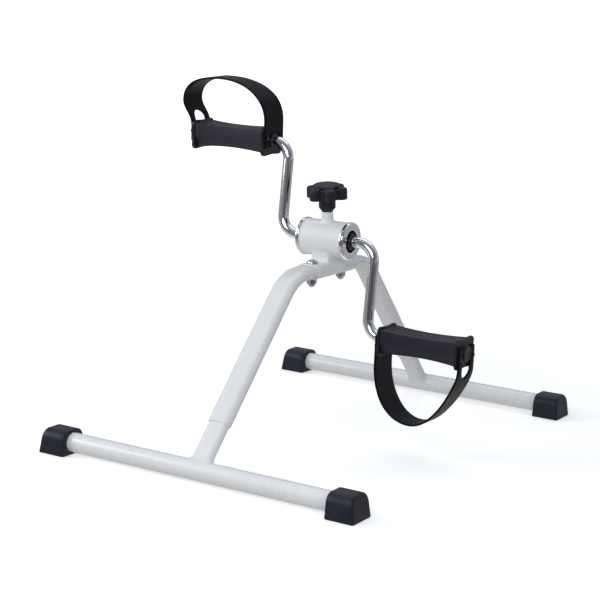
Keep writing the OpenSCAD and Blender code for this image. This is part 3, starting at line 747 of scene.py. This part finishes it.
def crank_path():
    """Points and directions in the XZ plane: along X in the hub, up the arm, along X through the pedal."""
    path = [((x, 0), (1, 0)) for x in (1.0, 1.6, 12, 24, ARM_X - ROD_BEND)]
    steps = 22
    bend = [(math.sin(a), math.cos(a)) for a in (math.pi / 2 * k / steps for k in range(1, steps + 1))]
    for s, c in bend:
        path.append(((ARM_X - ROD_BEND + ROD_BEND * s, ROD_BEND * (1 - c)), (c, s)))
    for z in (CRANK_R * 0.35, CRANK_R * 0.5, CRANK_R * 0.65, CRANK_R - ROD_BEND):
        path.append(((ARM_X, z), (0, 1)))
    for s, c in bend:
        path.append(((ARM_X + ROD_BEND * (1 - c), CRANK_R - ROD_BEND + ROD_BEND * s), (s, c)))
    return path + [((x, CRANK_R), (1, 0)) for x in (100, 130, 160, ROD_END - 0.6, ROD_END)]


def crank_rod():
    """One bent round rod with eased ends."""
    path = crank_path()
    rings = []
    for i, ((x, z), (dx, dz)) in enumerate(path):
        r = ROD_R - (0.6 if i in (0, len(path) - 1) else 0)
        rings.append([(x - dz * u, v, z + dx * u) for u, v, _ in circle(r, 0, 64)])
    return loft(rings, caps=(True, True))


ROD_MESH = crank_rod()
for side, s in SIDE.items():
    swing = -CRANK_LEAN + (math.pi if s > 0 else 0)
    turn = Matrix.Translation((0, 0, HUB_H)) @ Matrix.Rotation(swing, 4, "X") @ Matrix.Diagonal((s, 1, 1, 1))
    piece(f"{side}_crank_rod", place(ROD_MESH, turn), CHROME, "crank", [f"{side}_crank"], sharp=50)


# -------------------------------- knob

def knob():
    """Six rounded lobes under a low crown, on a fluted neck that steps down to the boss."""
    count, lobes, phase = 240, 6, math.radians(12)
    core, lobe_r, lobe_at, blend = 16.4, 6.2, 17.05, 1.6

    def lobe_shape(t):
        """Radius at an angle, where the lobes run smoothly into the round core."""
        d = (t - phase + math.pi / lobes) % (2 * math.pi / lobes) - math.pi / lobes
        reach = lobe_r ** 2 - (lobe_at * math.sin(d)) ** 2
        out = lobe_at * math.cos(d) + math.sqrt(reach) if reach > 0 else 0
        near = max(blend - abs(core - out), 0) / blend
        return max(core, out) + near * near * blend / 4

    def ring(z, inset, round_to=0.0, mix=0.0):
        """The lobed outline, mixed with a fluted circle."""
        row = []
        for t in turns(count):
            flute = 1 - 0.035 * (1 - math.cos(lobes * (t - phase))) / 2
            r = (lobe_shape(t) - inset) * (1 - mix) + round_to * flute * mix
            row.append((r * math.cos(t), r * math.sin(t), z))
        return row

    base, head, brim = 253.3, 267.8, 280.6
    neck = ((base, 5.6), (base, 5.9), (base + 0.4, 6.3), (base + 3.4, 9.0), (base + 4.1, 9.4),
            (base + 4.8, 9.5), (head - 2.2, 9.5), (head - 0.9, 9.7), (head - 0.25, 10.4))
    rings = [ring(z, 0, r, 1) for z, r in neck] + [ring(head - 0.02, 1.5, 11.4, 0.8)]
    low_edge, top_edge = 1.3, 2.4
    for a in map(math.radians, (0, 30, 60, 90)):
        rings.append(ring(head + low_edge * (1 - math.cos(a)), low_edge * (1 - math.sin(a))))
    for a in map(math.radians, range(0, 91, 12)):
        rings.append(ring(brim - top_edge + top_edge * math.sin(a) * 0.96, top_edge * (1 - math.cos(a))))
    # the top rises from the lobes to a flat crown: its size, its rise and how round it is
    crown = ((0.95, 0.0, 0.15), (0.92, 0.35, 0.4), (0.89, 1.0, 0.7), (0.86, 1.75, 0.9), (0.82, 2.4, 1.0),
             (0.77, 2.85, 1.0), (0.70, 3.0, 1.0), (0.3, 3.0, 1.0), (0.08, 3.0, 1.0))
    for out, rise, mix in crown:
        row = []
        for t in turns(count):
            r = ((lobe_shape(t) - top_edge) * (1 - mix) + (core + 1.6) * mix) * out
            row.append((r * math.cos(t), r * math.sin(t), brim + rise))
        rings.append(row)
    return loft(rings, caps=(True, True))


piece("lobed_knob", place(knob(), BOSS_TURN), KNOB, "knob", ["tension_knob"], sharp=55)


# -------------------------------- pedals (at their own axle, X outwards)

def at_pedal(side):
    _, y, z = PEDAL_AT[side]
    return (Matrix.Translation((0, y, z)) @ Matrix.Rotation(PEDAL_LEAN[side], 4, "X")
            @ Matrix.Diagonal((SIDE[side], 1, 1, 1)))


def sag(x, depth):
    """How far a long hollow of this depth stands above its lowest line at x."""
    half = (BODY_OUT - BODY_IN) / 2
    r = (half ** 2 + depth ** 2) / (2 * depth)
    return r - math.sqrt(r * r - (x - (BODY_IN + BODY_OUT) / 2) ** 2)


def tread_body():
    """Waisted moulding: ribbed top, upright upper facets and slanting lower facets."""
    grooves, pitch, groove, deep, border, ease = 18, 4.7, 1.5, 0.8, 3.5, 0.25
    half_w, foot_w, half_h, ridge_z = 18.5, 12.5, 14, -1
    top_sag, low_sag, side_sag = 2.0, 3.2, 1.6
    slant = (half_w - foot_w) / (half_h + ridge_z)
    mid = (BODY_IN + BODY_OUT) / 2

    # places along the body, with how deep the groove is there
    stations = [(BODY_IN, 0), (BODY_IN + 0.01, 0), (BODY_IN + 2, 0)]
    for i in range(grooves):
        x = mid + (i - (grooves - 1) / 2) * pitch
        a, b = x - groove / 2, x + groove / 2
        stations += [(a - ease, 0), (a, 0.35), (a + ease, 1), (b - ease, 1), (b, 0.35), (b + ease, 0)]
    stations += [(BODY_OUT - 2, 0), (BODY_OUT - 0.01, 0), (BODY_OUT, 0)]

    rings = []
    for x, cut in stations:
        top = half_h - top_sag + sag(x, top_sag)
        low = -half_h + low_sag - sag(x, low_sag)
        side = half_w - side_sag + sag(x, side_sag)
        ridge = ridge_z - (half_w - side) / slant * 0.55
        foot = side - (ridge - low) * slant
        corners = [(-side, top), (side, top), (side, ridge), (foot, low), (-foot, low), (-side, ridge)]
        outline = fillet(corners, [1.1, 1.1, 1.6, 1.3, 1.3, 1.6], 5)
        w = side - border
        rows = [(-w - 0.5, 0), (-w - 0.15, 0.3), (-w + 0.15, 1)]
        rows += [(w * k / 4, 1) for k in (-3, -1.5, 0, 1.5, 3)]
        rows += [(w - 0.15, 1), (w + 0.15, 0.3), (w + 0.5, 0)]
        ring = outline[:6] + [(y, top - deep * cut * d) for y, d in rows] + outline[6:]
        rings.append([(x, y, z) for y, z in ring])
    return loft(rings, caps=(True, True))


PLATE_STEPS = 144
TRAY_DEPTH, TRAY_INSET = 0.45, 2.2


def plate_shape(inset):
    """End plate outline: long sides hollowed between four rounded ears."""
    pts = [(20.5, 17), (0, 15.4), (-20.5, 17), (-19.0, 0), (-20.5, -17), (0, -15.4), (20.5, -17), (19.0, 0)]
    radii = [5.5, 70, 5.5, 60, 5.5, 70, 5.5, 60]
    rays = on_rays(fillet(pts, radii, 8), PLATE_STEPS)
    return [(y - inset * y / math.hypot(y, z), z - inset * z / math.hypot(y, z)) for y, z in rays]


def plate_rings(back, face, way, middle):
    """A plate's edge and its tray's floor, which narrows to a round middle; way is where the face looks."""
    edge = ((back, 0.5), (back + 0.4 * way, 0), (face - 0.8 * way, 0), (face - 0.25 * way, 0.22),
            (face, 0.8), (face, 1.7), (face - 0.15 * way, 1.95), (face - TRAY_DEPTH * way, TRAY_INSET))
    rings = [[(x, y, z) for y, z in plate_shape(inset)] for x, inset in edge]
    row = []
    for y, z in plate_shape(TRAY_INSET):
        k = 0.45 + middle / math.hypot(y, z)
        row.append((face - TRAY_DEPTH * way, y * k, z * k))
    return rings + [row]


def round_rings(start, steps):
    return [[(start + x, y, z) for y, z, _ in circle(r, 0, PLATE_STEPS)] for x, r in steps]


def outer_plate():
    """Outer end plate with a shallow tray inside its rim and the round cover over the rod's end."""
    cover = ((-TRAY_DEPTH, 10.3), (-0.3, 9.6), (0.1, 9.15), (0.8, 9.0), (2.3, 8.95), (3.0, 8.7), (3.33, 8.1),
             (3.4, 7.2), (3.3, 6.6), (3.1, 6.3), (3.05, 4), (3.05, 1))
    rings = plate_rings(BODY_OUT + 0.01, PLATE_OUT, 1, 6.2) + round_rings(PLATE_OUT, cover)
    return loft(rings, caps=(True, True))


def inner_plate():
    """Inner end plate with a raised lip round the rod's hole."""
    back = BODY_IN - 0.01
    lip = ((TRAY_DEPTH, 9.2), (0.3, 8.8), (0, 8.4), (0, 7.0), (0.4, 6.55), (back - PLATE_IN, 6.5))
    rings = plate_rings(back, PLATE_IN, -1, 5) + round_rings(PLATE_IN, lip)
    return loft(rings, loop=True)


def strap_studs(x, out, z):
    """Two headed studs the strap buttons on to; out is the way their heads point along X."""
    profile = [(2.0, -0.6), (2.0, 2.25), (2.35, 2.3), (2.7, 2.45), (2.68, 2.8), (2.3, 3.12), (1.5, 3.27),
               (0, 3.3)]
    stud = lathe(profile, 40)
    turn = Matrix.Rotation(out * math.pi / 2, 4, "Y")
    return join(*[place(stud, Matrix.Translation((x, y, z)) @ turn) for y in (-PEDAL_STUD_Y, PEDAL_STUD_Y)])


BODY_MESH, OUTER_MESH, INNER_MESH = tread_body(), outer_plate(), inner_plate()
for side, s in SIDE.items():
    at = at_pedal(side)
    body = f"{side}_pedal"
    stud_z = -s * 4.0
    outer = join(OUTER_MESH, strap_studs(PLATE_OUT, 1, stud_z))
    inner = join(INNER_MESH, strap_studs(PLATE_IN, -1, stud_z))
    for name, part, material, node in (("tread_moulding", BODY_MESH, PLASTIC, "body"),
                                       ("outer_cheek", outer, PLATE, "outer_plate"),
                                       ("inner_cheek", inner, PLATE, "inner_plate")):
        piece(f"{side}_{name}", place(part, at), material, body, [f"{body}_{node}"],
              sharp=42)


# -------------------------------- straps

# each loop is a chain of Bezier curves in the XZ plane, from the inner tab to the outer one
HANGING = [
    [(TAB_IN, TAB_END), (TAB_IN, 6), (TAB_IN, 16), (TAB_IN, 28)],
    [(TAB_IN, 28), (TAB_IN, 58), (99, 86.5), (126, 86.5)],
    [(126, 86.5), (148, 86.5), (170, 52), (178.6, 30)],
    [(178.6, 30), (180, 26), (TAB_OUT, 22), (TAB_OUT, 17)],
    [(TAB_OUT, 17), (TAB_OUT, 9), (TAB_OUT, -2), (TAB_OUT, TAB_END)],
]
ARCHING = [
    [(TAB_IN, TAB_END), (TAB_IN, 6), (TAB_IN, 16), (TAB_IN, 26)],
    [(TAB_IN, 26), (TAB_IN + 1, 49), (108, 65), (142, 66)],
    [(142, 66), (168, 67), (193.5, 61), (193.5, 39.5)],
    [(193.5, 39.5), (193.5, 28), (TAB_OUT, 24), (TAB_OUT, 11)],
    [(TAB_OUT, 11), (TAB_OUT, 7), (TAB_OUT, -2), (TAB_OUT, TAB_END)],
]
# half of the strap's width at places along X
HALF_WIDTHS = [(71.95, 19), (92, 19), (118, 16), (140, 14), (156, 15), (176, 18), (205, 18)]


def softened(values, rounds):
    """Averages each value with its neighbours and leaves the two ends."""
    for _ in range(rounds):
        inner = [(values[i - 1] + values[i] * 2 + values[i + 1]) / 4 for i in range(1, len(values) - 1)]
        values = [values[0]] + inner + [values[-1]]
    return values


def strap_line(loop, steps=60):
    """The curve as (arc length, point, direction) samples."""
    pts = []
    for curve in loop:
        a, b, c, d = [Vector(p) for p in curve]
        for t in (i / steps for i in range(steps)):
            pts.append(a * (1 - t) ** 3 + b * 3 * t * (1 - t) ** 2 + c * 3 * t * t * (1 - t) + d * t ** 3)
    pts.append(Vector(loop[-1][-1]))
    # soften the joints between the curves so that the band reads as one sheet
    pts = softened(pts, 60)
    s, out = 0.0, []
    for i, p in enumerate(pts):
        way = (pts[min(i + 1, len(pts) - 1)] - pts[max(i - 1, 0)]).normalized()
        if i:
            s += (p - pts[i - 1]).length
        out.append((s, p, way))
    return out


def point_at(line, s):
    """The point and the direction at an arc length."""
    s = min(max(s, 0.0), line[-1][0])
    low, high = 0, len(line) - 1
    while high - low > 1:
        m = (low + high) // 2
        if line[m][0] <= s:
            low = m
        else:
            high = m
    t = (s - line[low][0]) / max(line[high][0] - line[low][0], 1e-9)
    return line[low][1].lerp(line[high][1], t), line[low][2].lerp(line[high][2], t).normalized()


def dense(points, step=1.6):
    """Adds points on long straight runs."""
    out = [points[0]]
    for a, b in zip(points, points[1:]):
        n = max(1, int(math.dist(a, b) / step))
        out += [(a[0] + (b[0] - a[0]) * k / n, a[1] + (b[1] - a[1]) * k / n) for k in range(1, n + 1)]
    return out


def inset_loop(loop, d):
    """Moves a closed outline to its left by d."""
    out = []
    for i, p in enumerate(loop):
        a, b = Vector(loop[i - 1]), Vector(loop[(i + 1) % len(loop)])
        p = Vector(p)
        u, v = (p - a).normalized(), (b - p).normalized()
        n = (u + v).normalized()
        n = Vector((-n[1], n[0]))
        stretch = 1 / max(0.6, n.dot(Vector((-u[1], u[0]))))
        out.append(tuple(p + n * d * stretch))
    return out


def inside(p, loop):
    """Whether a point lies in a closed outline, by counting crossings."""
    hit = False
    for i, (ax, ay) in enumerate(loop):
        bx, by = loop[i - 1]
        if (ay > p[1]) != (by > p[1]) and p[0] < (bx - ax) * (p[1] - ay) / (by - ay) + ax:
            hit = not hit
    return hit


def strap_outlines(line, step=1.6, fork=9.5):
    """The flat band's (along, across) loops, forked outline first and then stud holes, and its stations."""
    total = line[-1][0]
    n = int(total / step)
    along = [total * i / n for i in range(n + 1)]

    def half(s):
        x = point_at(line, s)[0][0]
        for (xa, wa), (xb, wb) in zip(HALF_WIDTHS, HALF_WIDTHS[1:]):
            if x <= xb:
                return wa + (wb - wa) * (x - xa) / (xb - xa)
        return HALF_WIDTHS[-1][1]

    def reach(z, samples):
        return next(s for s, p, _ in samples if p[1] >= z)

    backwards = line[::-1]
    width = softened([half(s) for s in along], 12)
    end_in, end_out = reach(9.5, line), reach(17.5, backwards)
    tab_in = fillet([(end_in, 0), (end_in, fork), (0, fork), (0, width[0]), (along[4], width[4])],
                    [0, 5, 1.4, 3, 0], 8, closed=False)
    tab_out = fillet([(along[n - 4], width[n - 4]), (total, width[-1]), (total, fork), (end_out, fork)],
                     [0, 3, 1.4, 0], 8, closed=False)
    cup = [(end_out - fork * math.cos(a), fork * math.sin(a))
           for a in (math.pi / 2 * (1 - k / 14) for k in range(1, 15))]
    upper = dense(tab_in) + [(along[i], width[i]) for i in range(5, n - 4)] + dense(tab_out) + cup
    loops = [upper + [(s, -w) for s, w in reversed(upper[1:-1])]]
    for s in (reach(4, line), reach(4, backwards)):
        for w in (-PEDAL_STUD_Y, PEDAL_STUD_Y):
            loops.append([(s + x, w + y) for x, y, _ in circle(2.2, 0, 20)])
    return loops, along


def flat_faces(solid, holes, along):
    """Triangles over the flat band, with a grid of inner points so that it bends evenly."""
    def on_band(p):
        return inside(p, solid) and not any(inside(p, hole) for hole in holes)

    points, links = [], []
    for outline in [solid] + holes:
        k = len(points)
        points += outline
        links += [(k + i, k + (i + 1) % len(outline)) for i in range(len(outline))]
    rim = list(points)
    for s in along[1:-1]:
        for q in ((s, k * 2.0) for k in range(-9, 10)):
            if on_band(q) and min(math.dist(q, r) for r in rim) > 0.9:
                points.append(q)
    made = delaunay_2d_cdt([Vector(p) for p in points], links, [], 0, 1e-6)
    flat = [tuple(p) for p in made[0]]
    middles = [tuple(sum(flat[i][axis] for i in tri) / 3 for axis in (0, 1)) for tri in made[2]]
    return flat, [tuple(tri) for tri, middle in zip(made[2], middles) if on_band(middle)]


def strap(loop, step_mark=None):
    """Rubber band with a forked tab at each end, cut flat, bent round its curve and given soft edges."""
    line = strap_line(loop)
    total = line[-1][0]
    loops, along = strap_outlines(line)

    # how far the edge is drawn in from face to face, with the height as a share of half the thickness
    edge = 0.55
    edges = ((edge, 1.0), (edge * 0.3, 0.78), (0.0, 0.35), (0.0, -0.35), (edge * 0.3, -0.78), (edge, -1.0))
    sides = []
    for number, outline in enumerate(loops):
        area = sum(a[0] * b[1] - b[0] * a[1] for a, b in zip(outline, outline[1:] + outline[:1]))
        inward = (1 if area > 0 else -1) * (1 if number == 0 else -1)
        sides.append([inset_loop(outline, inward * d) for d, _ in edges])
    flat, triangles = flat_faces(sides[0][0], [rows[0] for rows in sides[1:]], along)

    def bent(p, lift):
        q, way = point_at(line, p[0])
        if step_mark and abs(p[0] - step_mark * total) < 1.4 and lift > 0:
            lift += 0.25
        off = Vector((-way[1], way[0])) * lift * STRAP_T / 2
        return (q[0] + off[0], p[1], q[1] + off[1])

    parts = [([bent(p, lift) for p in flat], triangles) for lift in (1.0, -1.0)]
    parts += [loft([[bent(p, lift) for p in row] for row, (_, lift) in zip(rows, edges)]) for rows in sides]
    return join(*parts)


for side, loop, flip, mark in (("left", ARCHING, 1, 0.56), ("right", HANGING, -1, None)):
    turn = at_pedal(side) @ Matrix.Diagonal((1, 1, flip, 1))
    piece(f"{side}_strap_band", place(strap(loop, mark), turn), STRAP, f"{side}_pedal",
          [f"{side}_pedal_strap"], sharp=60)


# -------------------------------- CAD nodes that stay in sight

KEPT = {
    "axle_sleeve": ZINC, "sleeve_pins": ZINC, "thrust_washers": ZINC, "pedal_collars": BUSH,
    "pedal_push_nuts": ZINC, "brake_shoe": NYLON, "knob_stud": ZINC,
}
for node, material in KEPT.items():
    obj = frame["nodes"][node]
    obj.data.materials.clear()
    obj.data.materials.append(material)
    obj.data.shade_smooth()
    obj.data.set_sharp_from_angle(angle=math.radians(35))


# -------------------------------- camera, floor and light

def camera():
    """A long lens, slightly above the object and to its right, rolled a little."""
    azimuth, elevation, roll = 0.546923, 0.201430, 0.0401366
    distance, lens = 1944.76, 104.0058
    target = Vector((-32.853, 0, 147.918))
    back = Vector((math.sin(azimuth) * math.cos(elevation), -math.cos(azimuth) * math.cos(elevation),
                   math.sin(elevation)))
    right = Vector((math.cos(azimuth), math.sin(azimuth), 0))
    up = back.cross(right)
    rolled_right = right * math.cos(roll) + up * math.sin(roll)
    rolled_up = up * math.cos(roll) - right * math.sin(roll)
    turn = Matrix((rolled_right, rolled_up, back)).transposed()
    cam = bpy.data.objects.new("camera", bpy.data.cameras.new("camera"))
    cam.data.sensor_width = 36.0
    cam.data.lens = lens
    cam.data.clip_start, cam.data.clip_end = 0.05, 200
    cam.matrix_world = Matrix.Translation((target + back * distance) * MM) @ turn.to_4x4()
    bpy.context.scene.collection.objects.link(cam)
    bpy.context.scene.camera = cam


def floor():
    """A plain pale floor, just under the soles."""
    half = 60.0
    mesh = bpy.data.meshes.new("floor")
    corners = [(-half, -half, 0), (half, -half, 0), (half, half, 0), (-half, half, 0)]
    mesh.from_pydata(corners, [], [(0, 1, 2, 3)])
    obj = bpy.data.objects.new("floor", mesh)
    bpy.context.scene.collection.objects.link(obj)
    obj.location.z = -0.0002
    n = Finish("pale_floor")
    grain = n.noise(3, 3, 0.5)
    tone = n.ramp(grain, "Fac", [(0.3, (0.88, 0.88, 0.88)), (0.7, (0.90, 0.90, 0.90))])
    n.plug(tone, "Color", "Base Color")
    n.bsdf.inputs["Roughness"].default_value = 0.9
    n.bsdf.inputs["Specular IOR Level"].default_value = 0.1
    n.bsdf.inputs["Emission Color"].default_value = (1, 1, 1, 1)
    # the lamps stand near the object, so the far floor gets a little more glow of its own
    reach = n.add("ShaderNodeVectorMath")
    reach.operation = "LENGTH"
    n.link(n.coord, "Object", reach, 0)
    n.plug(n.spread(reach, "Value", 0.36, 0.95, 0.4, 3.0), "Result", "Emission Strength")
    mesh.materials.append(n.mat)
    obj.visible_diffuse = False
    obj.visible_glossy = False


def softbox(name, at, size, power, tint=(1, 1, 1), mirrored=True):
    """A rectangular lamp, in metres and watts, that looks at the middle of the object."""
    look = (0, 0, 0.15)
    lamp = bpy.data.lights.new(name, "AREA")
    lamp.shape = "RECTANGLE"
    lamp.size, lamp.size_y = size
    lamp.energy = power
    lamp.color = tint
    obj = bpy.data.objects.new(name, lamp)
    bpy.context.scene.collection.objects.link(obj)
    obj.location = at
    obj.rotation_mode = "QUATERNION"
    obj.rotation_quaternion = (Vector(look) - Vector(at)).to_track_quat("-Z", "Y")
    obj.visible_glossy = mirrored


def surroundings():
    """A soft studio all round: bands by height, dimmed behind the viewer, for the chrome to reflect."""
    world = bpy.data.worlds.new("studio")
    bpy.context.scene.world = world
    world.use_nodes = True
    n = Tree(world.node_tree)
    # pale at the horizon, dim above it, cool overhead
    height = n.add("ShaderNodeSeparateXYZ")
    n.link(n.coord, "Generated", height, "Vector")
    bands = n.ramp(n.spread(height, "Z", 0.0, 1.0, -1.0), "Result", [
        (0.0, (1.12, 1.11, 1.09)), (0.25, (0.92, 0.91, 0.90)), (0.40, (0.48, 0.48, 0.50)),
        (0.49, (0.42, 0.43, 0.46)), (0.53, (0.85, 0.86, 0.88)), (0.58, (0.66, 0.67, 0.70)),
        (0.70, (0.40, 0.43, 0.47)), (0.85, (0.60, 0.66, 0.72)), (1.0, (0.75, 0.82, 0.9))])
    # pale on the far side, dark behind the viewer with one pale strip
    facing = n.add("ShaderNodeVectorMath")
    facing.operation = "DOT_PRODUCT"
    facing.inputs[1].default_value = (0.52, -0.854, 0)
    n.link(n.coord, "Generated", facing, 0)
    around = n.ramp(n.spread(facing, "Value", 0.0, 1.0, -1.0), "Result", [
        (0.0, (0.85, 0.85, 0.85)), (0.30, (1, 1, 1)), (0.52, (0.85, 0.85, 0.85)),
        (0.72, (0.45, 0.45, 0.46)), (0.84, (0.24, 0.24, 0.25)), (0.88, (0.85, 0.85, 0.87)),
        (0.92, (0.24, 0.24, 0.25)), (1.0, (0.22, 0.22, 0.23))])
    sky = n.add("ShaderNodeBackground")
    sky.inputs["Strength"].default_value = 0.8
    n.link(n.mix(bands, "Color", around, "Color", "MULTIPLY"), 2, sky, "Color")
    n.link(sky, "Background", n.add("ShaderNodeOutputWorld"), "Surface")


camera()
floor()
softbox("key_softbox", (-1.7, -1.2, 0.95), (1.1, 1.3), 20)
softbox("front_softbox", (0.2, -2.1, 1.15), (1.5, 0.8), 18)
softbox("side_softbox", (2.0, -1.7, 0.75), (2.2, 1.5), 26, (0.97, 0.98, 1.0), mirrored=False)
softbox("top_strip", (-0.2, 0.9, 1.9), (1.8, 0.5), 5, (0.90, 0.95, 1.0))
surroundings()
bpy.context.scene.view_settings.view_transform = "Standard"
